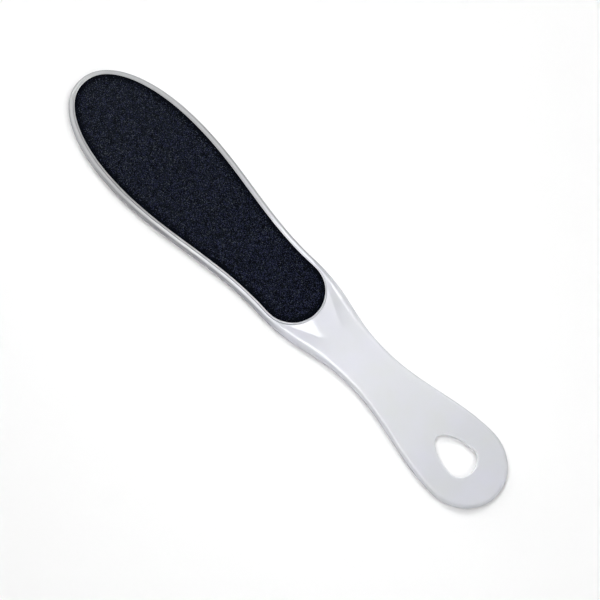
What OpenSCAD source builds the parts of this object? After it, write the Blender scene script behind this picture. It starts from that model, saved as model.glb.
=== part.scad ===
// Double-sided foot file: a moulded paddle with a sheet of coated abrasive bonded to each face.
// The tip of the head points to -X, the handle to +X and the front face to +Z. The file lies
// on its back sheet, with the origin under the middle of its box. Places along the outline are
// counted from the tip of the head.

/* [Outline] */
// Length of the file, from the tip of the head to the end of the handle
overall_l = 255; // [240:1:275]
// Width of the head at its widest place
head_w = 48.8; // [45:0.1:54]
// From the tip to the widest place of the head
tip_l = 49.4; // [42:0.2:56]
// How full the tip is, where 2 is an ellipse
tip_fullness = 2.16; // [1.9:0.02:2.4]
// Width of the head at its narrow place
nape_w = 33.7; // [32:0.1:37]
// From the tip to the narrow place of the head
nape_at = 124.6; // [115:0.2:127]
// Width of the shoulder, where the head ends
shoulder_w = 34.1; // [33:0.1:38]
// From the tip to the shoulder
head_l = 131.8; // [128:0.2:136]
// Width of the handle at its throat
throat_w = 22.1; // [20:0.1:27]
// From the tip to the throat
throat_at = 179; // [170:0.2:186]
// Width of the butt at its widest place
butt_w = 37.5; // [34:0.1:43]
// From the widest place of the butt to the end of the handle
butt_l = 20.2; // [19:0.2:26]

/* [Plate] */
// Thickness of the moulded plate
plate_t = 4; // [3.2:0.1:5]
// Radius of the rounded rim on the head
rim_r = 1.2; // [0.8:0.05:1.6]
// How far the rounding runs in at the neck
neck_rim_reach = 3; // [2:0.1:4.5]
// How far the rounding runs in on the handle
handle_rim_reach = 1.9; // [1.4:0.1:3]
// How far the rounding runs down on the neck and the handle
handle_rim_depth = 1.9; // [1.2:0.05:1.95]
// How full the rounding is at the neck, where 2 is an ellipse and less has a flatter slope
neck_rim_fullness = 1.5; // [1.3:0.05:2]
// From the tip to where the rounding settles on the handle
rim_settles_at = 174; // [166:1:200]

/* [Abrasive seats] */
// Height of each seat above the plate
seat_h = 0.7; // [0.55:0.05:1.1]
// How far past the shoulder the centre of the seat's round end lies
seat_overrun = 0.4; // [0:0.1:2.5]
// Border of bare seat round the sheet
seat_border = 0.5; // [0.3:0.05:0.9]
// Width of the sloping wall round the seat
seat_wall_w = 0.3; // [0.15:0.05:0.6]
// Flat ledge between the seat and the rounded rim at the tip
tip_ledge_w = 0.85; // [0.1:0.05:1.2]
// Flat ledge between the seat and the rounded rim at the shoulder
shoulder_ledge_w = 0.85; // [0.4:0.05:1.6]
// Drop from the seat's round end to the tongue that runs out on the handle
ring_step = 0.3; // [0.1:0.05:0.45]
// From the centre of the seat's round end to the end of the tongue
tongue_l = 26; // [24:0.5:34]
// Radius of the end of the tongue
tongue_r = 6.9; // [5:0.1:8]

/* [Hanging eye] */
// Width of the teardrop eye
eye_w = 14.3; // [11:0.1:16]
// From the widest place of the eye to its point
eye_front_l = 15; // [12:0.2:19]
// From the widest place of the eye to its round end
eye_back_l = 5.7; // [5:0.1:8]
// Radius of the rounded edges of the eye
eye_edge_r = 0.8; // [0.4:0.05:1.4]
// How full the flanks of the eye are, where 2 is an ellipse
eye_fullness = 1.8; // [1.6:0.05:2.4]
// How blunt the point of the eye is, where 1 is sharp and 2 is round
eye_bluntness = 1.9; // [1.15:0.05:2]

/* [Abrasive sheets] */
// Thickness of the adhesive film
adhesive_t = 0.15; // [0.1:0.05:0.3]
// How far the film stays inside the edge of its sheet
adhesive_inset = 0.3; // [0.1:0.05:0.8]
// Thickness of the backing
backing_t = 0.4; // [0.3:0.05:0.7]
// Thickness of the mineral coat
grit_t = 0.4; // [0.25:0.05:0.7]

/* [Hidden] */

// Numbers of ribs along each stretch of half the outline
tip_steps = 14;
flank_steps = 12;
seat_steps = 10;
slope_steps = 4;
tongue_steps = 6;
handle_steps = 12;
eye_steps = 8;
butt_steps = 14;
// Numbers of steps down the seat's wall, across the tongue, round the rim and round the edge of
// the eye
wall_steps = 2;
run_out_steps = 4;
rim_steps = 5;
eye_edge_steps = 3;

// From the edge of the sheet to the outline, at the tip and at the shoulder
tip_margin = seat_border + seat_wall_w + tip_ledge_w + rim_r;
shoulder_margin = seat_border + seat_wall_w + shoulder_ledge_w + rim_r;

// Round ends of the sheet, of the top of the seat and of its foot, all on one centre
round_at = head_l + seat_overrun;
sheet_r = half_w(round_at) - shoulder_margin;
seat_r = sheet_r + seat_border;
foot_r = seat_r + seat_wall_w;

// The tongue's foot runs straight from the seat's round end to its own round end. It closes
// in on the centre line by the tongue's angle, and its own end begins at the bend.
tongue_end_x = round_at + tongue_l;
tongue_x = tongue_end_x - tongue_r;
tongue_angle = asin((foot_r - tongue_r) / (tongue_x - round_at));
bend_x = tongue_x + tongue_r * sin(tongue_angle);
bend_y = tongue_r * cos(tongue_angle);
bend_bearing = atan2(bend_y, bend_x - round_at);
// Steepest fall of the tongue, where it narrows to nothing beside the seat
steepest_share = 0.45;

butt_x = overall_l - butt_l;

// Heights from the surface that the file lies on
sheet_t = adhesive_t + backing_t + grit_t;
plate_z = sheet_t + seat_h + plate_t / 2;
front_seat_z = plate_z + plate_t / 2 + seat_h;

function mix(a, b, share) = a + (b - a) * share;
function clamped(share) = min(max(share, 0), 1);
// Shares that leave and arrive level, the second with a quicker middle
function eased(share) = (1 - cos(180 * share)) / 2;
function swept(share) = share * share * share * (share * (6 * share - 15) + 10);

// Half the width of the outline between the widest places of the head and the butt
function half_w(x) =
    x < nape_at ? mix(head_w, nape_w, eased((x - tip_l) / (nape_at - tip_l))) / 2 :
    x < head_l ? mix(nape_w, shoulder_w, eased((x - nape_at) / (head_l - nape_at))) / 2 :
    x < throat_at ? mix(shoulder_w, throat_w, swept((x - head_l) / (throat_at - head_l))) / 2 :
    mix(throat_w, butt_w, eased((x - throat_at) / (butt_x - throat_at))) / 2;

// How far the rim's rounding runs in from the outline and down from the plate's face, and how full
// it is. It widens from the nape to the end of the seat, and settles along the handle.
function rim_widened(x) = eased(clamped((x - nape_at) / (round_at + foot_r - nape_at)));
function rim_settled(x) = eased(clamped((x - tongue_x) / (rim_settles_at - tongue_x)));
function rim_reach(x) =
    mix(mix(rim_r, neck_rim_reach, rim_widened(x)), handle_rim_reach, rim_settled(x));
function rim_depth(x) = mix(rim_r, handle_rim_depth, rim_widened(x));
function rim_fullness(x) = mix(2, neck_rim_fullness, rim_widened(x) * (1 - rim_settled(x)));

// A point of a full quarter ellipse, at an angle from its long axis
function quarter(long, short, angle, fullness) = [
    long * pow(cos(angle), 2 / fullness),
    short * pow(sin(angle), 2 / fullness),
];

// Ribs run from the centre line, or from the edge of the eye, out to the outline. A rib is
// its stretch of the outline, with its angle there or, on the sides, its place.
TIP = "tip";
SIDE = "side";
EYE = "eye";
BUTT = "butt";

tip_ribs = [for (i = [0 : tip_steps - 1]) [TIP, 90 * i / tip_steps]];
flank_ribs = [for (i = [0 : flank_steps - 1]) [SIDE, mix(tip_l, round_at, i / flank_steps)]];
seat_end_ribs = [for (i = [0 : seat_steps - 1]) [SIDE, round_at + seat_r * sin(90 * i / seat_steps)]];
wall_ribs = [for (i = [0 : wall_steps - 1]) [SIDE, round_at + mix(seat_r, foot_r, i / wall_steps)]];
slope_ribs = [for (i = [0 : slope_steps - 1]) [SIDE, mix(round_at + foot_r, bend_x, i / slope_steps)]];
tongue_ribs = [
    for (i = [0 : tongue_steps - 1])
        [SIDE, tongue_x + tongue_r * sin(mix(tongue_angle, 90, i / tongue_steps))]
];
handle_ribs = [
    for (i = [0 : handle_steps - 1])
        [SIDE, mix(tongue_end_x, eye_point([EYE, 0], eye_edge_r).x, i / handle_steps)]
];
eye_ribs = [for (i = [0 : eye_steps - 1]) [EYE, 90 * i / eye_steps]];
butt_ribs = [for (i = [0 : butt_steps]) [BUTT, 90 * i / butt_steps]];
ribs = concat(
    tip_ribs, flank_ribs, seat_end_ribs, wall_ribs, slope_ribs, tongue_ribs, handle_ribs, eye_ribs,
    butt_ribs
);
last_rib = len(ribs) - 1;
first_eye_rib = last_rib - butt_steps - eye_steps;

// Where a rib meets the edge of the eye, grown by some amount
function eye_point(rib, grown) = let(
    front = quarter(eye_front_l + grown, eye_w / 2 + grown, rib[1], 2),
    flank = pow(1 - pow(front.x / (eye_front_l + grown), eye_fullness), 1 / eye_bluntness),
    back = quarter(eye_w / 2 + grown, eye_back_l + grown, rib[1], 2)
) rib[0] == EYE ? [butt_x - front.x, (eye_w / 2 + grown) * flank] : [butt_x + back.y, back.x];

function rib_x(rib) = rib[0] == EYE ? eye_point(rib, eye_edge_r).x : rib[1];

// Where a rib meets the outline, drawn in by some inset
function rim_point(rib, inset) = let(
    tip = quarter(tip_l - inset, head_w / 2 - inset, rib[1], tip_fullness),
    butt = quarter(butt_w / 2 - inset, butt_l - inset, rib[1], 2)
) rib[0] == TIP ? [tip_l - tip.x, tip.y] :
    rib[0] == BUTT ? [butt_x + butt.y, butt.x] :
    [rib_x(rib), half_w(rib_x(rib)) - inset];

// From the edge of the sheet to the outline, at a place on the head
function margin(x) = mix(tip_margin, shoulder_margin, x / round_at);

// Where a rib of the head meets the edge of the sheet, grown by some amount
function sheet_point(rib, grown) = let(
    tip = quarter(
        tip_l - tip_margin + grown, head_w / 2 - margin(tip_l) + grown, rib[1], tip_fullness
    )
) rib[0] == TIP ? [tip_l - tip.x, tip.y] : [rib[1], half_w(rib[1]) - margin(rib[1]) + grown];

// Half the width of a round end centred on the centre line, nothing beyond it
function round_half(x, centre, r) = x < centre + r ? sqrt(max(r * r - pow(x - centre, 2), 0)) : 0;

// Half the width of the tongue's foot beyond the shoulder
function foot_half(x) =
    x < round_at + foot_r * sin(tongue_angle) ? round_half(x, round_at, foot_r) :
    x < bend_x ? (foot_r - (x - round_at) * sin(tongue_angle)) / cos(tongue_angle) :
    round_half(x, tongue_x, tongue_r);

// From the centre of the seat's round end to the tongue's foot, on a bearing from the centre line
function reach(bearing) = let(across = (tongue_x - round_at) * sin(bearing))
    bearing > 90 - tongue_angle ? foot_r :
    bearing > bend_bearing ? foot_r / cos(90 - tongue_angle - bearing) :
    (tongue_x - round_at) * cos(bearing) + sqrt(tongue_r * tongue_r - across * across);

// Height of the tongue above the plate at a bearing and a distance from the centre of the seat's
// round end. It falls evenly from the foot of the seat's wall to its own foot.
function tongue_h(bearing, run) = let(end = reach(bearing))
    bearing > 90 - tongue_angle || run >= end ? 0 :
    min((seat_h - ring_step) / (end - foot_r), steepest_share) * (end - run);

// Height of the seat's round end above the plate: its top, its wall, or the tongue beyond
function round_end_h(x, y) = let(
    bearing = atan2(y, x - round_at),
    run = norm([x - round_at, y]),
    low = tongue_h(bearing, max(run, foot_r))
) mix(low, seat_h, clamped((foot_r - run) / (foot_r - seat_r)));

function raised(point, z) = [point.x, point.y, z];

// The seat and its wall on a rib, from the centre line to the foot of the wall
function head_points(rib) = let(
    foot = raised(sheet_point(rib, seat_border + seat_wall_w), plate_t / 2)
) concat(
    [raised([rib[0] == TIP ? tip_l : rib[1], 0], plate_t / 2 + seat_h)],
    [
        for (i = [0 : wall_steps - 1])
            let(down = i / wall_steps)
                raised(
                    sheet_point(rib, seat_border + seat_wall_w * down),
                    plate_t / 2 + seat_h * (1 - down)
                )
    ],
    [for (i = [0 : run_out_steps]) foot]
);

// The seat's round end and the tongue on a rib, from the centre line to the tongue's foot
function tongue_points(rib) = let(
    x = rib_x(rib),
    wall_foot = round_half(x, round_at, foot_r),
    foot = foot_half(x)
) concat(
    [[x, 0, plate_t / 2 + round_end_h(x, 0)]],
    [
        for (i = [0 : wall_steps - 1])
            let(y = round_half(x, round_at, mix(seat_r, foot_r, i / wall_steps)))
                [x, y, plate_t / 2 + round_end_h(x, y)]
    ],
    [
        for (i = [0 : run_out_steps - 1])
            let(y = mix(wall_foot, foot, i / run_out_steps))
                [x, y, plate_t / 2 + (y == foot ? 0 : round_end_h(x, y))]
    ],
    [[x, foot, plate_t / 2]]
);

// The inner edge of the plain plate, at the centre line or at the eye
function plain_points(rib) = let(
    inner = rib[0] == SIDE ? [rib_x(rib), 0] : eye_point(rib, eye_edge_r)
) [for (i = [0 : wall_steps + run_out_steps + 1]) raised(inner, plate_t / 2)];

// The rounded upper half of the rim
function rim_points(rib) = let(
    place = rib[0] == TIP ? 0 : rib[0] == BUTT ? butt_x : rib_x(rib),
    in = rim_reach(place),
    down = rim_depth(place)
) [
    for (i = [0 : rim_steps])
        let(turn = quarter(down, in, 90 * i / rim_steps, rim_fullness(place)))
            raised(rim_point(rib, in - turn.y), plate_t / 2 - down + turn.x)
];

// The rounded upper half of the eye's edge, from the wall up to the flat
function eye_edge_points(rib) = [
    for (i = [0 : eye_edge_steps])
        let(angle = 90 * (1 - i / eye_edge_steps))
            raised(
                eye_point(rib, eye_edge_r * (1 - sin(angle))),
                plate_t / 2 - eye_edge_r * (1 - cos(angle))
            )
];

function front_points(rib) = concat(
    rib[0] == TIP || (rib[0] == SIDE && rib[1] < round_at) ? head_points(rib) :
        rib[0] == SIDE && rib[1] < tongue_end_x ? tongue_points(rib) : plain_points(rib),
    rim_points(rib)
);

function reversed(list) = [for (i = [len(list) - 1 : -1 : 0]) list[i]];
function turned_over(points) = [for (p = points) [p.x, p.y, 0 - p.z]];
function mirrored(points) = [for (p = points) [p.x, 0 - p.y, p.z]];

// The whole section at a rib: across the front, round the rim and back across the back
function section(rib) = let(front = front_points(rib)) concat(front, reversed(turned_over(front)));
function eye_section(rib) = let(edge = eye_edge_points(rib))
    concat(reversed(turned_over(edge)), edge);

// Both sides of the file, out along +Y and home along -Y
function all_round(half) = concat(half, [for (i = [len(half) - 2 : -1 : 1]) mirrored(half[i])]);

// Triangles between neighbouring sections, leaving out those with two corners in one place
function strip(sections, joins) = [
    for (i = [0 : joins - 1])
        let(this = sections[i], next = sections[(i + 1) % len(sections)])
            for (k = [0 : len(this) - 2])
                for (corners = [
                    [this[k], this[k + 1], next[k + 1]],
                    [this[k], next[k + 1], next[k]],
                ])
                    if (corners[0] != corners[1] && corners[1] != corners[2] && corners[2] != corners[0])
                        corners
];

module skin(triangles) {
    polyhedron(
        points = [for (corners = triangles) each corners],
        faces = [for (i = [0 : len(triangles) - 1]) [3 * i, 3 * i + 1, 3 * i + 2]]
    );
}

// The outline of the sheet, drawn in by some inset
function sheet_outline(inset) = let(
    r = sheet_r - inset,
    half = concat(
        [for (rib = concat(tip_ribs, flank_ribs)) sheet_point(rib, -inset)],
        [
            for (i = [0 : seat_steps])
                let(turn = 90 * i / seat_steps) [round_at + r * sin(turn), r * cos(turn)]
        ]
    )
) concat(half, [for (i = [len(half) - 2 : -1 : 1]) [half[i].x, 0 - half[i].y]]);

module layer(z, thickness, inset = 0) {
    translate([-overall_l / 2, 0, z])
        linear_extrude(thickness)
            polygon(sheet_outline(inset));
}

// The moulded paddle: plate, rounded rim, both seats with their tongues, and the hanging eye
module paddle_body() {
    outer = all_round([for (rib = ribs) section(rib)]);
    eye = all_round([for (i = [first_eye_rib : last_rib]) eye_section(ribs[i])]);
    color("ghostwhite")
        translate([-overall_l / 2, 0, plate_z])
            skin(concat(strip(outer, len(outer)), strip(eye, len(eye))));
}

module front_adhesive() {
    color("khaki") layer(front_seat_z, adhesive_t, adhesive_inset);
}

module front_backing() {
    color("#2a2c33") layer(front_seat_z + adhesive_t, backing_t);
}

module front_grit() {
    color("#14161e") layer(front_seat_z + adhesive_t + backing_t, grit_t);
}

module back_adhesive() {
    color("khaki") layer(grit_t + backing_t, adhesive_t, adhesive_inset);
}

module back_backing() {
    color("#2a2c33") layer(grit_t, backing_t);
}

module back_grit() {
    color("#1c1e26") layer(0, grit_t);
}

paddle_body();
front_adhesive();
front_backing();
front_grit();
back_adhesive();
back_backing();
back_grit();
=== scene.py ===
import math

import bpy
import numpy as np
from mathutils import Matrix, Vector


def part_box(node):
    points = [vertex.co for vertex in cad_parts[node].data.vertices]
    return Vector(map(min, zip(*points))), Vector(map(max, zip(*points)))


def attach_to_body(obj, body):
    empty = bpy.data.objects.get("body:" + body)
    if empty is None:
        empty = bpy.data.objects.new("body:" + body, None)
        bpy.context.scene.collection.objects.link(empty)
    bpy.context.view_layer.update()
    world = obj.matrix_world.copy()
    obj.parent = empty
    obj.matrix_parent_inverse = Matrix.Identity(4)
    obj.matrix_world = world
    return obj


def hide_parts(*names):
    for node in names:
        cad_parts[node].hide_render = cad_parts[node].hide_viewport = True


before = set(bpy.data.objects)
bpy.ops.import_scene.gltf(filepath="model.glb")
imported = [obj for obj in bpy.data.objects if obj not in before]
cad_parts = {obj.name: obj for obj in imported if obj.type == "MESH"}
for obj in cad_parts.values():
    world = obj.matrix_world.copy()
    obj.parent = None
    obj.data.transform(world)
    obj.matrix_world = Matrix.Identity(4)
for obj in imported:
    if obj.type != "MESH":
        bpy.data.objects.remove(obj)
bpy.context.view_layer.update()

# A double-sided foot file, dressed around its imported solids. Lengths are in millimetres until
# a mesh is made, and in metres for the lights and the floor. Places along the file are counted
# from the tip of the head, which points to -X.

MM = 0.001


def box_mm(node):
    """The lowest and highest corners of a node."""
    low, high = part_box(node)
    return low / MM, high / MM


body_low, body_high = box_mm("paddle_body")

# Outline of the paddle. A fullness of 2 is an ellipse, and a greater one is squarer.
overall_l = body_high.x - body_low.x
head_w = body_high.y - body_low.y
tip_l = 49.4
tip_fullness = 2.16
nape_w = 33.7
nape_at = 124.6
shoulder_w = 34.1
head_l = 131.8
throat_w = 22.1
throat_at = 179
butt_w = 37.5
butt_l = 20.2
butt_x = overall_l - butt_l

# Plate and rim. The rim's rounding is tight on the head and runs far in at the neck.
plate_t = 4
plate_z = (body_high.z + body_low.z) / 2
head_rim_r = 1.2
neck_rim_reach = 3
handle_rim_reach = 1.9
handle_rim_depth = 1.9
neck_rim_fullness = 1.5
rim_settles_at = 174
flash_w = 0.03
flash_h = 0.1

# Seats of the two sheets. A seat's wall has a fillet at its top and at its foot.
seat_h = body_high.z - plate_z - plate_t / 2
seat_overrun = 0.4
round_at = head_l + seat_overrun
seat_border = 0.5
seat_wall_w = 0.3
seat_fillet = 0.08
crown_grown = seat_border - seat_fillet
foot_grown = seat_border + seat_wall_w + seat_fillet
tip_margin = 2.85
shoulder_margin = 2.85

# Tongue that runs out from a seat's round end, a step lower, between two flat flanks
ring_step = 0.3
tongue_l = 26
tongue_r = 6.9
tongue_x = round_at + tongue_l - tongue_r
flank_slope = 0.06
tongue_fillet = 0.012
flank_fillet = 0.04
tongue_fade_degrees = 25

# Hanging eye
eye_w = 14.3
eye_front_l = 15
eye_back_l = 5.7
eye_edge_r = 0.8
eye_front_x = butt_x - eye_front_l - eye_edge_r
eye_fullness = 1.8
eye_bluntness = 1.9

# Painted light and shade on the plastic. Painted shade darkens the head's rim where it turns
# down, less so at the tip, and the foot of a seat's wall, and greys the head towards its tip.
# The handle gets painted shade only at its very edge, and the walls of the eye are painted
# lighter. A lean is the level share of the surface's normal.
head_rim_painted_shade = 0.53
head_rim_lean = 0.6
tip_rim_share = 0.3
full_rim_x = 75
edge_painted_shade = 0.2
edge_lean = 0.86
edge_fades_from = 222
edge_fades_to = 236
foot_painted_shade = 0.4
foot_h = 0.55
# Where the painted shade that greys the head towards its tip fades out
tip_shade_from = 50
tip_shade_to = 125

# Mineral coats. The grains stand in a resin bed whose upper edge is rounded by the die.
front_bed_share = 0.55
front_spacing = 0.42
FRONT_GRAIN_SIDES = 5
FRONT_SEED = 11
back_bed_share = 0.68
back_spacing = 0.33
BACK_GRAIN_SIDES = 3
BACK_SEED = 12
bed_edge_r = 0.09

# Grains. Their drift, clear border and radius are shares of their spacing. A corner's turn is
# a share of the angle between two corners, a peak's lean one of the radius, and a peak's
# height one of the room above the bed.
drift_share = 0.32
border_share = 0.7
radius_shares = (0.42, 0.72)
corner_turn_share = 0.3
corner_radius_shares = (0.75, 1.15)
peak_lean_share = 0.45
peak_height_shares = (0.45, 1)
grain_sunk = 0.02

# Which mineral a grain is: the shares of grey, blue and slate ones at the tip and at the neck,
# with black ones for the rest. The lighter ones thin out at the cut edge and in loose clouds.
tip_mineral_shares = (0.125, 0.19, 0.62)
neck_mineral_shares = (0.055, 0.34, 0.26)
dark_border_w = 4
CLOUD_WAVES = 9
cloud_spans = (1.6, 6)
cloud_depth_share = 0.55
least_light_share = 0.02

# Ribs of the mesh, counted along a quarter of the file. Those round the seat's round end fan
# out over a length fan_l of the outline.
TIP_RIBS = 70
FLANK_RIBS = 110
FAN_RIBS = 70
HANDLE_RIBS = 56
EYE_RIBS = 40
BUTT_RIBS = 56
fan_l = 32

# Rows of points along the ribs. They crowd together at the crease of the tongue's foot.
CROWN_SHARES = np.array([0, 0.4, 0.75, 0.95])
WALL_SHARES = np.linspace(0, 1, 11)
BEFORE_CREASE_SHARES = np.linspace(0, 1, 15)[:-1]
CREASE_SHARES = np.linspace(-1, 1, 5)
AFTER_CREASE_SHARES = np.array([0.08, 0.18, 0.32, 0.5, 0.72])
RIM_ANGLES = np.radians(np.linspace(0, 90, 13))
EYE_EDGE_ANGLES = np.radians(np.linspace(90, 0, 9))
BED_SHARES = np.array([0, 0.5, 0.9])
BED_EDGE_ANGLES = np.radians(np.linspace(0, 90, 6))
crease_half_w = 0.35
least_crease_share = 0.12

# Limits of the arithmetic
HALVINGS = 40
MERGE_DIGITS = 3
EDGE_BATCH = 4000
LEAST_SQUARE = 1e-12


def mix(a, b, share):
    """The value that lies a share of the way from a to b, for numbers, arrays and signals."""
    return a + (b - a) * share


def eased(share):
    """A share that starts and ends gently, as half a wave does."""
    return (1 - np.cos(np.pi * np.clip(share, 0, 1))) / 2


def swept(share):
    """A share with neither slope nor bend at its ends."""
    share = np.clip(share, 0, 1)
    return share**3 * (share * (6 * share - 15) + 10)


def half_w(x):
    """Half the width of the outline between the widest places of the head and the butt."""
    return np.select(
        [x < nape_at, x < head_l, x < throat_at],
        [
            mix(head_w, nape_w, eased((x - tip_l) / (nape_at - tip_l))) / 2,
            mix(nape_w, shoulder_w, eased((x - nape_at) / (head_l - nape_at))) / 2,
            mix(shoulder_w, throat_w, swept((x - head_l) / (throat_at - head_l))) / 2,
        ],
        mix(throat_w, butt_w, eased((x - throat_at) / (butt_x - throat_at))) / 2,
    )


def quarter(long, short, angle, fullness=2):
    """A point of a quarter ellipse of some fullness, at an angle in radians from its long axis."""
    power = 2 / fullness
    return long * np.cos(angle).clip(0) ** power, short * np.sin(angle).clip(0) ** power


def sheet_margin(x):
    """How far the sheet's edge stays inside the outline."""
    return mix(tip_margin, shoulder_margin, x / round_at)


sheet_r = float(half_w(np.array(round_at))) - shoulder_margin
foot_r = sheet_r + foot_grown

# The tongue's foot runs straight from the seat's round end to its own round end
tongue_angle = math.asin((foot_r - tongue_r) / (tongue_x - round_at))
bend_bearing = math.atan2(
    tongue_r * math.cos(tongue_angle), tongue_x + tongue_r * math.sin(tongue_angle) - round_at
)


def rim_widened(x):
    """How far the rim's rounding has changed from the head's to the neck's, as a share."""
    return eased((x - nape_at) / (round_at + foot_r - nape_at))


def rim_settled(x):
    """How far the rim's rounding has changed from the neck's to the handle's, as a share."""
    return eased((x - tongue_x) / (rim_settles_at - tongue_x))


def rim_reach(x):
    """How far the rim's rounding runs in from the outline."""
    at_neck = mix(head_rim_r, neck_rim_reach, rim_widened(x))
    return mix(at_neck, handle_rim_reach, rim_settled(x))


def rim_depth(x):
    """How far the rim's rounding runs down from the plate's face."""
    return mix(head_rim_r, handle_rim_depth, rim_widened(x))


def rim_fullness(x):
    """How full the rim's rounding is."""
    return mix(2, neck_rim_fullness, rim_widened(x) * (1 - rim_settled(x)))


def tongue_reach(bearing):
    """From the centre of the seat's round end to the tongue's foot."""
    stem = tongue_x - round_at
    across = stem * np.sin(bearing)
    return np.select(
        [bearing > math.pi / 2 - tongue_angle, bearing > bend_bearing],
        [foot_r, foot_r / np.cos(math.pi / 2 - tongue_angle - bearing)],
        stem * np.cos(bearing) + np.sqrt((tongue_r**2 - across**2).clip(0)),
    )


def higher(a, b, fillet):
    """The greater of two heights, with a fillet where they cross."""
    return (a + b + np.sqrt((a - b) ** 2 + fillet**2)) / 2


def tongue_height(x, y):
    """Height of the tongue above the plate: an even fall to its end, between two flat flanks."""
    bearing = np.arctan2(y, x - round_at)
    end = tongue_reach(bearing)
    fall = (seat_h - ring_step) / np.maximum(end - foot_r, tongue_fillet)
    crown = fall * (end - np.hypot(x - round_at, y))
    inside = foot_r - (x - round_at) * math.sin(tongue_angle) - y * math.cos(tongue_angle)
    rise = -higher(-crown, -flank_slope * inside, flank_fillet)
    fade = eased((90 - np.degrees(bearing)) / tongue_fade_degrees)
    return np.where(x > round_at, higher(rise, 0, tongue_fillet) * fade, 0)


# Ribs run from the middle of the file out to its outline. Each is straight in plan.
tip_angle = np.linspace(0, np.pi / 2, TIP_RIBS, endpoint=False)
flank_x = np.linspace(tip_l, round_at, FLANK_RIBS, endpoint=False)
fan_share = np.linspace(0, 1, FAN_RIBS)
fan_bearing = (1 - fan_share) * np.pi / 2
fan_x = round_at + fan_l * fan_share
handle_share = np.linspace(0, 1, HANDLE_RIBS + 1)[1:-1]
handle_inner_x = mix(round_at + foot_r, eye_front_x, handle_share)
handle_x = mix(round_at + fan_l, eye_front_x, handle_share)
eye_angle = np.linspace(0, np.pi / 2, EYE_RIBS, endpoint=False)
butt_angle = np.linspace(0, np.pi / 2, BUTT_RIBS)


def plan(*parts):
    """Points in plan from pairs of x and y, one pair for each stretch of ribs."""
    return np.concatenate([np.stack(np.broadcast_arrays(x, y), -1) for x, y in parts])


def eye_front(grown):
    """The blunt point of the eye, grown by some amount."""
    front, _ = quarter(eye_front_l + grown, 1, eye_angle)
    flank = (1 - (front / (eye_front_l + grown)) ** eye_fullness).clip(0) ** (1 / eye_bluntness)
    return butt_x - front, (eye_w / 2 + grown) * flank


def eye_points(grown):
    """Where the ribs meet the edge of the eye, grown by some amount."""
    across, along = quarter(eye_w / 2 + grown, eye_back_l + grown, butt_angle)
    return plan(eye_front(grown), (butt_x + along, across))


side_x = np.concatenate([flank_x, fan_x, handle_x, eye_front(eye_edge_r)[0]])
rib_x = np.concatenate([np.zeros(TIP_RIBS), side_x, np.full(BUTT_RIBS, butt_x)])


def outline(inset):
    """Where the ribs meet the outline, drawn in by some inset."""
    inset = np.broadcast_to(inset, rib_x.shape)
    tip, side, butt = np.split(inset, [TIP_RIBS, TIP_RIBS + len(side_x)])
    along, across = quarter(tip_l - tip, head_w / 2 - tip, tip_angle, tip_fullness)
    butt_across, butt_along = quarter(butt_w / 2 - butt, butt_l - butt, butt_angle)
    return plan(
        (tip_l - along, across),
        (side_x, half_w(side_x) - side),
        (butt_x + butt_along, butt_across),
    )


def sheet_edge(grown):
    """Where the ribs of the head meet the edge of the sheet, grown by some amount."""
    along, across = quarter(
        tip_l - tip_margin + grown,
        head_w / 2 - sheet_margin(tip_l) + grown,
        tip_angle,
        tip_fullness,
    )
    r = sheet_r + grown
    return plan(
        (tip_l - along, across),
        (flank_x, half_w(flank_x) - sheet_margin(flank_x) + grown),
        (round_at + r * np.cos(fan_bearing), r * np.sin(fan_bearing)),
    )


def rib_middles():
    """Where the ribs of the head leave the centre line."""
    return plan(
        (np.full(TIP_RIBS, tip_l), 0), (flank_x, 0), (np.full(FAN_RIBS, round_at), 0)
    )


def rows_between(start, end, shares):
    """Points on every rib between two of its points, as (ribs, rows, 2)."""
    return start[:, None] + (end - start)[:, None] * shares[..., None]


def raised(points, z):
    """Points in plan lifted to some heights."""
    return np.concatenate([points, np.broadcast_to(z, points.shape[:-1])[..., None]], -1)


def rounded_edge(r, angles):
    """Steps round an edge, each as how far it lies in from the side and below the face."""
    return zip(r * (1 - np.sin(angles)), r * (1 - np.cos(angles)))


# Grids of points for the +Y side and the front. The paddle's heights are counted from the
# middle of its plate, and a resin bed's from its foot.


def seat_grid():
    """The top of a seat and the wall round it."""
    edge, foot = sheet_edge(crown_grown), sheet_edge(foot_grown)
    crown = rows_between(rib_middles(), edge, CROWN_SHARES)
    wall = rows_between(edge, foot, WALL_SHARES)
    base = tongue_height(foot[:, 0], foot[:, 1])[:, None]
    top = plate_t / 2 + seat_h
    drop = (seat_h - base) * swept(WALL_SHARES)
    return np.concatenate([raised(crown, top), raised(wall, top - drop)], 1)


def past_tongue(points):
    """Whether points in plan lie beyond the tongue's foot."""
    run = np.hypot(points[:, 0] - round_at, points[:, 1])
    return run > tongue_reach(np.arctan2(points[:, 1], points[:, 0] - round_at))


def foot_share(start, end):
    """The share of each rib at which it crosses the tongue's foot, by halving."""
    low, high = np.zeros(len(start)), np.ones(len(start))
    for _ in range(HALVINGS):
        middle = (low + high) / 2
        past = past_tongue(start + (end - start) * middle[:, None])
        high = np.where(past, middle, high)
        low = np.where(past, low, middle)
    return high


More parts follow.
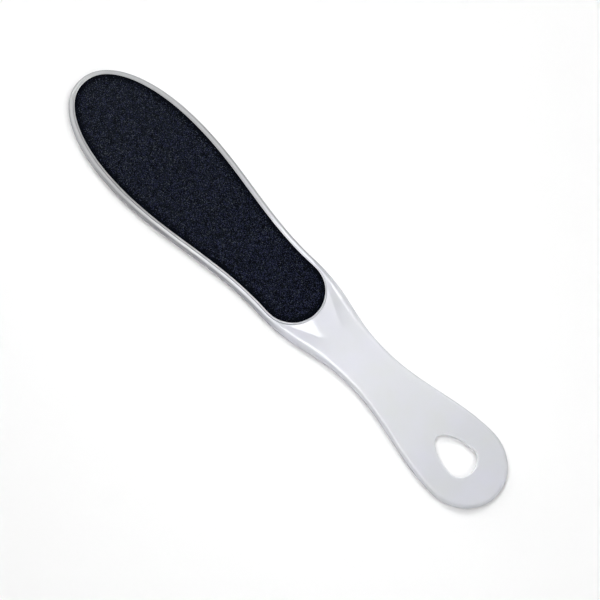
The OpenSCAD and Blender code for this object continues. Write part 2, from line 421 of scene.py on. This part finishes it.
def apron_grid():
    """The plate's face and its rim, out from the seat's wall, the centre line or the eye."""
    inner = np.concatenate(
        [sheet_edge(foot_grown), plan((handle_inner_x, 0)), eye_points(eye_edge_r)]
    )
    reach, depth = rim_reach(rib_x), rim_depth(rib_x)
    outer = outline(reach)
    length = np.linalg.norm(outer - inner, axis=1)
    crease = foot_share(inner, outer)
    # The ribs beside the seat don't cross the tongue
    crease[: TIP_RIBS + FLANK_RIBS] = 0
    crease = np.maximum(crease, least_crease_share)
    half = np.minimum(crease_half_w / length, crease / 2)[:, None]
    crease = crease[:, None]
    shares = np.concatenate(
        [
            (crease - half) * BEFORE_CREASE_SHARES,
            crease + half * CREASE_SHARES,
            mix(crease + half, 1, AFTER_CREASE_SHARES),
        ],
        1,
    )
    face = rows_between(inner, outer, shares)
    face = raised(face, plate_t / 2 + tongue_height(face[..., 0], face[..., 1]))
    rim = []
    for angle in RIM_ANGLES:
        up, out = quarter(depth, reach, angle, rim_fullness(rib_x))
        rim.append(raised(outline(reach - out), plate_t / 2 - depth + up))
    flash = [
        raised(outline(0), flash_h),
        raised(outline(-flash_w), flash_h / 2),
        raised(outline(-flash_w), 0),
    ]
    return np.concatenate([face, np.stack(rim + flash, 1)], 1)


def eye_edge_grid():
    """The eye's wall at mid height and its rounded edge up to the plate's face."""
    rows = [raised(eye_points(0), 0)]
    for grown, drop in rounded_edge(eye_edge_r, EYE_EDGE_ANGLES):
        rows.append(raised(eye_points(grown), plate_t / 2 - drop))
    return np.stack(rows, 1)


def bed_grid(thickness):
    """The top and the rounded cut edge of a coat's resin bed."""
    middles = rib_middles()
    top = raised(rows_between(middles, sheet_edge(-bed_edge_r), BED_SHARES), thickness)
    rows = []
    for inset, drop in rounded_edge(bed_edge_r, BED_EDGE_ANGLES):
        rows.append(raised(sheet_edge(-inset), thickness - drop))
    rows += [raised(sheet_edge(0), 0), raised(middles, 0)]
    return np.concatenate([top, np.stack(rows, 1)], 1)


def mirrored(grid, ups=(1, -1)):
    """A grid's reflections across the file and up and down, each with whether its faces turn."""
    for across in (1, -1):
        for up in ups:
            yield grid * (1, across, up), across * up < 0


def make_piece(name, points, faces):
    """An object from points in millimetres, whose X is counted from the tip of the head."""
    mesh = bpy.data.meshes.new(name)
    mesh.from_pydata(((points + (-overall_l / 2, 0, 0)) * MM).tolist(), [], faces)
    piece = bpy.data.objects.new(name, mesh)
    bpy.context.scene.collection.objects.link(piece)
    return piece


def skin(name, grids, base_z, tones=None):
    """One smooth piece from grids, with points in one place made one and tones on its points."""
    points, faces, start = [], [], 0
    for grid, turned in grids:
        index = start + np.arange(grid.shape[0] * grid.shape[1]).reshape(grid.shape[:2])
        around = [index[:-1, :-1], index[1:, :-1], index[1:, 1:], index[:-1, 1:]]
        faces.append(np.stack(around[::-1] if turned else around, -1).reshape(-1, 4))
        points.append(grid.reshape(-1, 3))
        start += index.size
    points, faces = np.concatenate(points), np.concatenate(faces)
    _, kept, now = np.unique(
        np.round(points, MERGE_DIGITS) + 0.0, axis=0, return_index=True, return_inverse=True
    )
    points, faces = points[kept], now.reshape(-1)[faces]
    corners = [list(dict.fromkeys(face)) for face in faces.tolist()]
    whole = [face for face in corners if len(face) > 2]
    piece = make_piece(name, points + (0, 0, base_z), whole)
    mesh = piece.data
    mesh.shade_smooth()
    if tones is not None:
        normals = np.empty(3 * len(points))
        mesh.vertices.foreach_get("normal", normals)
        for tone, values in tones(points, normals.reshape(-1, 3)[:, 2]).items():
            mesh.attributes.new(tone, "FLOAT", "POINT").data.foreach_set("value", values)
    return piece


def plastic_painted_shading(points, upright):
    """Shares of painted shade and light off the handle's tone; upright is the normal's Z."""
    x, y, z = points.T
    lean = np.sqrt((1 - upright**2).clip(0))
    by_eye = (x > eye_front_x) & (x < butt_x + eye_back_l + eye_edge_r) & (abs(y) < eye_w)
    # Painted shade on the head's rim, on the handle's very edge and at the foot of a seat's wall
    on_head = mix(tip_rim_share, 1, eased(x / full_rim_x)) * (1 - rim_widened(x))
    on_head = on_head * head_rim_painted_shade * eased(lean / head_rim_lean)
    before_butt = 1 - eased((x - edge_fades_from) / (edge_fades_to - edge_fades_from))
    at_edge = edge_painted_shade * eased((lean - edge_lean) / (1 - edge_lean)) * before_butt
    at_foot = foot_painted_shade * eased(lean) * (abs(z) < plate_t / 2 + foot_h)
    on_rim = np.where(abs(z) < plate_t / 2, np.maximum(on_head, at_edge), at_foot)
    return {
        # Painted shade on the rim and at a seat's foot
        "painted_rim_shade": np.where(by_eye, 0, on_rim),
        # Painted light on the walls of the eye
        "painted_eye_light": np.where(by_eye, eased(lean), 0),
        # Painted shade, greyer towards the tip of the head
        "painted_tip_shade": 1 - eased((x - tip_shade_from) / (tip_shade_to - tip_shade_from)),
    }


def inside_sheet(points):
    """Whether points in plan lie inside the sheet's edge."""
    x, y = points[:, 0], np.abs(points[:, 1])
    tip = (
        ((tip_l - x).clip(0) / (tip_l - tip_margin)) ** tip_fullness
        + (y / (head_w / 2 - sheet_margin(tip_l))) ** tip_fullness
    )
    return np.select(
        [x < tip_l, x < round_at],
        [tip < 1, y < half_w(x) - sheet_margin(x)],
        np.hypot(x - round_at, y) < sheet_r,
    )


def edge_distance(points):
    """How far points in plan lie from the sheet's edge, worked out a batch at a time."""
    edge = sheet_edge(0)
    loop = np.concatenate([edge, edge[::-1] * (1, -1)])
    step = np.roll(loop, -1, 0) - loop
    square = np.maximum((step**2).sum(-1), LEAST_SQUARE)
    nearest = []
    for first in range(0, len(points), EDGE_BATCH):
        part = points[first : first + EDGE_BATCH, None]
        share = ((part - loop) * step).sum(-1) / square
        foot = loop + step * share.clip(0, 1)[..., None]
        nearest.append(np.sqrt(((part - foot) ** 2).sum(-1).min(1)))
    return np.concatenate(nearest)


def scatter(spacing, rng):
    """Places of grains on a loose hexagonal grid inside the sheet's edge, and how far inside."""
    row_gap = spacing * math.sqrt(3) / 2
    rows = np.arange(-head_w / 2, head_w / 2, row_gap)
    columns = np.arange(0, round_at + sheet_r, spacing)
    x, y = np.meshgrid(columns, rows)
    x = x + (np.arange(len(rows))[:, None] % 2) * spacing / 2
    places = np.stack([x.ravel(), y.ravel()], -1)
    places = places + rng.uniform(-drift_share, drift_share, places.shape) * spacing
    places = places[inside_sheet(places)]
    edge = edge_distance(places)
    clear = edge > spacing * border_share
    return places[clear], edge[clear]


def mineral_kinds(places, edge, rng):
    """Which mineral each grain is, by its place, how far inside the edge it lies and chance."""
    cloud = np.zeros(len(places))
    for _ in range(CLOUD_WAVES):
        heading = rng.uniform(0, 2 * np.pi)
        pitch = 2 * np.pi / rng.uniform(*cloud_spans)
        along = places @ np.array([np.cos(heading), np.sin(heading)])
        cloud += np.sin(along * pitch + rng.uniform(0, 2 * np.pi)) / CLOUD_WAVES
    light = eased(edge / dark_border_w) * (1 + cloud_depth_share * cloud)
    draw = rng.random(len(places)) / np.maximum(light, least_light_share)
    ends = np.cumsum([tip_mineral_shares, neck_mineral_shares], 1)
    shares = mix(ends[0], ends[1], places[:, :1] / round_at)
    return (draw[:, None] > shares).sum(1)


def grains(name, spacing, sides, bed_z, top_z, facing, minerals, rng):
    """Angular grains, each an uneven pyramid that stands in the bed and faces up or down."""
    places, edge = scatter(spacing, rng)
    count = len(places)
    size = spacing * rng.uniform(*radius_shares, count)
    turn = rng.uniform(0, 2 * np.pi, count)[:, None]
    uneven = rng.uniform(-corner_turn_share, corner_turn_share, (count, sides))
    bearing = turn + 2 * np.pi * (np.arange(sides) + uneven) / sides
    radius = size[:, None] * rng.uniform(*corner_radius_shares, (count, sides))
    low_x = places[:, :1] + radius * np.cos(bearing)
    low_y = places[:, 1:] + radius * np.sin(bearing)
    low = np.stack([low_x, low_y, np.full_like(low_x, bed_z - facing * grain_sunk)], -1)
    lean = rng.uniform(-peak_lean_share, peak_lean_share, (count, 2)) * size[:, None]
    height = (top_z - bed_z) * rng.uniform(*peak_height_shares, count)
    peak = np.concatenate([places + lean, (bed_z + height)[:, None]], 1)
    points = np.concatenate([low, peak[:, None]], 1).reshape(-1, 3)
    ring = np.arange(sides)
    around = [ring, (ring + 1) % sides, np.full(sides, sides)]
    if facing < 0:
        around = around[::-1]
    base = (np.arange(count) * (sides + 1))[:, None, None]
    faces = (base + np.stack(around, -1)).reshape(-1, 3)
    piece = make_piece(name, points, faces.tolist())
    for material in minerals:
        piece.data.materials.append(material)
    kinds = np.repeat(mineral_kinds(places, edge, rng), sides)
    piece.data.polygons.foreach_set("material_index", kinds.astype(np.int32))
    return piece


# The sockets of a Mix node that mixes colours
MIX_FACTOR, MIX_FIRST, MIX_SECOND = 0, 6, 7
MIX_RESULT = 2


class Signal:
    """What a socket gives. Arithmetic on signals adds Math nodes."""

    def __init__(self, finish, socket):
        self.finish = finish
        self.socket = socket

    def combined(self, operation, other):
        """A Math node on this signal and another one or a number."""
        return self.finish.node("ShaderNodeMath", {"operation": operation}, {0: self, 1: other})

    def __add__(self, other):
        return self.combined("ADD", other)

    def __mul__(self, other):
        return self.combined("MULTIPLY", other)

    __radd__ = __add__
    __rmul__ = __mul__


class Finish:
    """A material and the nodes that make it."""

    def __init__(self, name):
        self.material = bpy.data.materials.new(name)
        self.material.use_nodes = True
        self.tree = self.material.node_tree
        self.tree.nodes.clear()

    def node(self, kind, settings, sockets, output=0):
        """Any node: its settings first, then the values or links of its sockets."""
        made = self.tree.nodes.new(kind)
        for name, value in settings.items():
            setattr(made, name, value)
        for name, value in sockets.items():
            if isinstance(value, Signal):
                self.tree.links.new(value.socket, made.inputs[name])
            else:
                made.inputs[name].default_value = value
        return Signal(self, made.outputs[output] if made.outputs else None)

    def place(self):
        """Where a point lies on the file, in millimetres."""
        metres = self.node("ShaderNodeTexCoord", {}, {}, "Object")
        return self.node(
            "ShaderNodeVectorMath", {"operation": "SCALE"}, {0: metres, "Scale": 1 / MM}
        )

    def tone(self, name):
        """A tone that the points of the skin carry."""
        return self.node("ShaderNodeAttribute", {"attribute_name": name}, {}, "Fac")

    def noise(self, size, detail=2, roughness=0.5):
        """Noise whose grains are about so many millimetres across."""
        sockets = {"Scale": 1 / size, "Detail": detail, "Roughness": roughness}
        return self.node("ShaderNodeTexNoise", {}, {"Vector": self.place(), **sockets})

    def blend(self, factor, first, second):
        """A mix of two colours, which is the second one where the factor is 1."""
        sockets = {MIX_FACTOR: factor, MIX_FIRST: first, MIX_SECOND: second}
        return self.node("ShaderNodeMix", {"data_type": "RGBA"}, sockets, MIX_RESULT)

    def bump(self, height, depth, strength, normal=None):
        """A bump of so many millimetres for each unit of height."""
        sockets = {"Height": height, "Distance": depth * MM, "Strength": strength}
        if normal is not None:
            sockets["Normal"] = normal
        return self.node("ShaderNodeBump", {}, sockets)

    def surface(self, sockets):
        """The finished material, with these sockets on its shader."""
        shader = self.node("ShaderNodeBsdfPrincipled", {}, sockets)
        self.node("ShaderNodeOutputMaterial", {}, {"Surface": shader})
        return self.material


def white_plastic():
    """Milky plastic, bluish on the handle; painted shade: plain grey at the tip, dark on the rim.
    """
    plain = (0.654, 0.667, 0.684, 1)
    bluish = (0.666, 0.672, 0.730, 1)
    # The grey that the painted shade towards the tip blends towards
    tip_shade_grey = (0.515, 0.52, 0.528, 1)
    # The pale colour of the painted light on the eye's walls
    eye_painted_light = (0.87, 0.88, 0.91, 1)
    # The dark that the painted shade on the rim and at a seat's foot blends towards
    painted_shade_dark = (0.05, 0.05, 0.055, 1)
    finish = Finish("white_plastic")
    # The mix runs past 0 and 1, which gives the cloud its contrast
    cloud = mix(-0.75, 1.75, finish.noise(size=14, detail=3))
    colour = finish.blend(cloud, plain, bluish)
    # Painted shade, greyer towards the tip of the head
    colour = finish.blend(finish.tone("painted_tip_shade"), colour, tip_shade_grey)
    # Painted light on the eye's walls
    colour = finish.blend(finish.tone("painted_eye_light"), colour, eye_painted_light)
    # Painted shade on the rim and at the foot of a seat's wall
    colour = finish.blend(finish.tone("painted_rim_shade"), colour, painted_shade_dark)
    scuffs = finish.noise(size=2.5, detail=4, roughness=0.6)
    ripple = finish.bump(finish.noise(size=9, detail=1), depth=0.02, strength=0.6)
    grain = finish.bump(finish.noise(size=0.35), depth=0.004, strength=0.35, normal=ripple)
    return finish.surface(
        {
            "Base Color": colour,
            "Roughness": mix(0.06, 0.12, scuffs),
            "Normal": grain,
            "IOR": 1.49,
            "Subsurface Weight": 0.4,
            "Subsurface Scale": 1.5 * MM,
            "Subsurface Radius": (1, 1, 1),
        }
    )


def adhesive_film():
    """Clear amber film, a little cloudy."""
    finish = Finish("adhesive_film")
    cloud = finish.noise(size=1.2, detail=3)
    return finish.surface(
        {
            "Base Color": finish.blend(cloud, (0.58, 0.50, 0.33, 1), (0.68, 0.62, 0.46, 1)),
            "Roughness": mix(0.3, 0.5, cloud),
            "Normal": finish.bump(finish.noise(size=0.3), depth=0.01, strength=0.4),
        }
    )


def abrasive_backing():
    """Dark waterproof backing, whose fibres show at the matt cut edge."""
    finish = Finish("abrasive_backing")
    fibre = finish.noise(size=0.25, detail=3)
    return finish.surface(
        {
            "Base Color": finish.blend(fibre, (0.012, 0.013, 0.018, 1), (0.04, 0.042, 0.05, 1)),
            "Roughness": mix(0.6, 0.8, fibre),
            "Normal": finish.bump(fibre, depth=0.03, strength=0.6),
        }
    )


def resin_bed(name, pore_size):
    """The near-black resin between the grains."""
    finish = Finish(name)
    cloud = finish.noise(size=6, detail=3)
    pores = finish.noise(size=pore_size)
    return finish.surface(
        {
            "Base Color": finish.blend(cloud, (0.001, 0.0015, 0.003, 1), (0.003, 0.004, 0.007, 1)),
            "Roughness": mix(0.45, 0.75, pores),
            "Normal": finish.bump(pores, depth=0.04, strength=0.8),
            "IOR": 1.08,
        }
    )


def mineral(name, colour, roughness, ior):
    """The colour and gloss of one kind of grain, which has plain facets."""
    finish = Finish(name)
    return finish.surface({"Base Color": (*colour, 1), "Roughness": roughness, "IOR": ior})


def floor_paper():
    """Matt white paper."""
    finish = Finish("floor_paper")
    return finish.surface(
        {"Base Color": (0.98, 0.98, 0.98, 1), "Roughness": 0.9, "Specular IOR Level": 0.1}
    )


def attach(piece, node):
    """Lets a piece stand for a node of the one rigid body."""
    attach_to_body(piece, "root")
    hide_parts(node)


def dress(node, material):
    """Gives a solid that stays in view its finish."""
    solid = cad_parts[node]
    solid.data.materials.clear()
    solid.data.materials.append(material)


def coat(name, node, facing, bed_share, spacing, sides, minerals, seed):
    """A sheet's mineral coat: a resin bed and the grains that stand in it."""
    low, high = box_mm(node)
    base_z, top_z = (low.z, high.z) if facing > 0 else (high.z, low.z)
    thickness = (high.z - low.z) * bed_share
    bed = skin(name + "_bed", mirrored(bed_grid(thickness), ups=(facing,)), base_z)
    bed.data.materials.append(resin_bed(name + "_resin", spacing / 2))
    grit = grains(
        name + "_grains",
        spacing,
        sides,
        base_z + facing * thickness,
        top_z,
        facing,
        minerals,
        np.random.default_rng(seed),
    )
    for piece in (bed, grit):
        attach(piece, node)


# Paddle
quarters = [seat_grid(), apron_grid(), eye_edge_grid()]
paddle = skin(
    "paddle_moulding",
    [reflection for grid in quarters for reflection in mirrored(grid)],
    plate_z,
    plastic_painted_shading,
)
paddle.data.materials.append(white_plastic())
attach(paddle, "paddle_body")

# Sheets
film = adhesive_film()
backing = abrasive_backing()
for side in ("front", "back"):
    dress(side + "_adhesive", film)
    dress(side + "_backing", backing)

kinds_of_grain = [
    mineral("mineral_grey", (0.054, 0.064, 0.080), roughness=0.38, ior=1.35),
    mineral("mineral_blue", (0.017, 0.021, 0.060), roughness=0.30, ior=1.3),
    mineral("mineral_slate", (0.015, 0.019, 0.026), roughness=0.36, ior=1.12),
    mineral("mineral_black", (0.002, 0.003, 0.006), roughness=0.42, ior=1.08),
]
coat(
    "front_mineral",
    "front_grit",
    facing=1,
    bed_share=front_bed_share,
    spacing=front_spacing,
    sides=FRONT_GRAIN_SIDES,
    minerals=kinds_of_grain,
    seed=FRONT_SEED,
)
coat(
    "back_mineral",
    "back_grit",
    facing=-1,
    bed_share=back_bed_share,
    spacing=back_spacing,
    sides=BACK_GRAIN_SIDES,
    minerals=kinds_of_grain,
    seed=BACK_SEED,
)

# Camera, at the photograph's viewing angle
FRAME_PX = 600
px_per_mm = 2.329
camera_distance = 752
camera_tilt = math.radians(13.87)
camera_azimuth = math.radians(-60.3)
camera_roll = math.radians(-46.52)
target = Vector((9.66, 0.03, 3.65))
sensor_w = 36
nearest_seen = 50
farthest_seen = 10000

back = Vector(
    (
        math.sin(camera_tilt) * math.cos(camera_azimuth),
        math.sin(camera_tilt) * math.sin(camera_azimuth),
        math.cos(camera_tilt),
    )
)
right = Vector((0, 1, 0)).cross(back).normalized()
up = back.cross(right)
camera_right = right * math.cos(camera_roll) - up * math.sin(camera_roll)
camera_up = right * math.sin(camera_roll) + up * math.cos(camera_roll)
lens = bpy.data.cameras.new("camera")
lens.sensor_width = sensor_w
lens.lens = sensor_w * px_per_mm * camera_distance / FRAME_PX
lens.clip_start = nearest_seen * MM
lens.clip_end = farthest_seen * MM
camera = bpy.data.objects.new("camera", lens)
bpy.context.scene.collection.objects.link(camera)
turned = Matrix((camera_right, camera_up, back)).transposed().to_4x4()
camera.matrix_world = Matrix.Translation((target + back * camera_distance) * MM) @ turned
bpy.context.scene.camera = camera


def softbox(name, place, aim, width, length, radiance):
    """A rectangular soft light of a given brightness over its face."""
    lamp = bpy.data.lights.new(name, "AREA")
    lamp.shape = "RECTANGLE"
    lamp.size, lamp.size_y = width, length
    lamp.energy = radiance * width * length * math.pi
    lit = bpy.data.objects.new(name, lamp)
    lit.location = place
    lit.rotation_euler = (Vector(place) - Vector(aim)).to_track_quat("Z", "Y").to_euler()
    bpy.context.scene.collection.objects.link(lit)
    return lit


# Soft boxes that shine straight down, whose mirror images the plastic shows. Two at one height
# would hide each other's images where they overlap, so those that overlap differ in height.
# A turn is in degrees.
for name, x, y, z, width, length, turn, radiance in (
    ("key", 0.045, -0.09, 0.44, 0.18, 0.09, 0, 11.4),
    ("band", 0.0165, 0.045, 0.45, 0.057, 0.72, 0, 2.8),
    ("neck_low", 0, 0.027, 0.43, 0.06, 0.043, 0, 8.8),
    ("shoulder", -0.105, 0.06, 0.44, 0.12, 0.08, 0, 6.5),
    ("shoulder_far", -0.0725, 0.14, 0.44, 0.045, 0.07, 0, 11),
    ("handle_glow", 0.068, 0.095, 0.44, 0.043, 0.15, 0, 1.6),
    ("neck_far", 0.006, 0.42, 0.43, 0.035, 0.54, -6.8, 8),
    ("handle_side", 0.36, -0.09, 0.45, 0.09, 0.45, 0, 8),
    ("tip_side", -0.36, 0, 0.45, 0.09, 0.27, 0, 12.9),
):
    box = softbox(name, (x, y, z), (x, y, 0), width, length, radiance)
    box.rotation_euler.z += math.radians(turn)

# Low soft boxes that light the rims from the tip and from the far side
low_distance = 1
low_z = 0.2
low_w = 0.7
low_l = 0.35
for name, x, y, radiance in (
    ("low_tip_side", -low_distance, 0, 3),
    ("low_far_side", 0, low_distance, 1),
):
    softbox(name, (x, y, low_z), (0, 0, 0), low_w, low_l, radiance)

# Panels over the far floor. Their light falls nearly straight down, so that none of it falls
# on the file.
panel_z = 0.6
panel_spread = math.radians(60)
panel_radiance = 0.9
end_panel_x = 1.07
end_panel_w = 1.1
end_panel_l = 3
side_panel_y = 0.95
side_panel_w = 2 * end_panel_x - end_panel_w
for name, x, y, width, length in (
    ("tip_floor_panel", -end_panel_x, 0, end_panel_w, end_panel_l),
    ("butt_floor_panel", end_panel_x, 0, end_panel_w, end_panel_l),
    ("near_floor_panel", 0, -side_panel_y, side_panel_w, end_panel_w),
    ("far_floor_panel", 0, side_panel_y, side_panel_w, end_panel_w),
):
    panel = softbox(name, (x, y, panel_z), (x, y, 0), width, length, panel_radiance)
    panel.data.spread = panel_spread

# Faint light from all round
world_radiance = 0.02
world = bpy.data.worlds.new("studio")
world.use_nodes = True
surroundings = world.node_tree.nodes["Background"]
surroundings.inputs["Color"].default_value = (1, 1, 1, 1)
surroundings.inputs["Strength"].default_value = world_radiance
bpy.context.scene.world = world

# Floor
floor_half = 1.5
floor_mesh = bpy.data.meshes.new("floor")
floor_mesh.from_pydata(
    [(x * floor_half, y * floor_half, 0) for x, y in ((-1, -1), (1, -1), (1, 1), (-1, 1))],
    [],
    [(0, 1, 2, 3)],
)
floor_mesh.materials.append(floor_paper())
floor = bpy.data.objects.new("floor", floor_mesh)
bpy.context.scene.collection.objects.link(floor)

bpy.context.scene.view_settings.view_transform = "Standard"
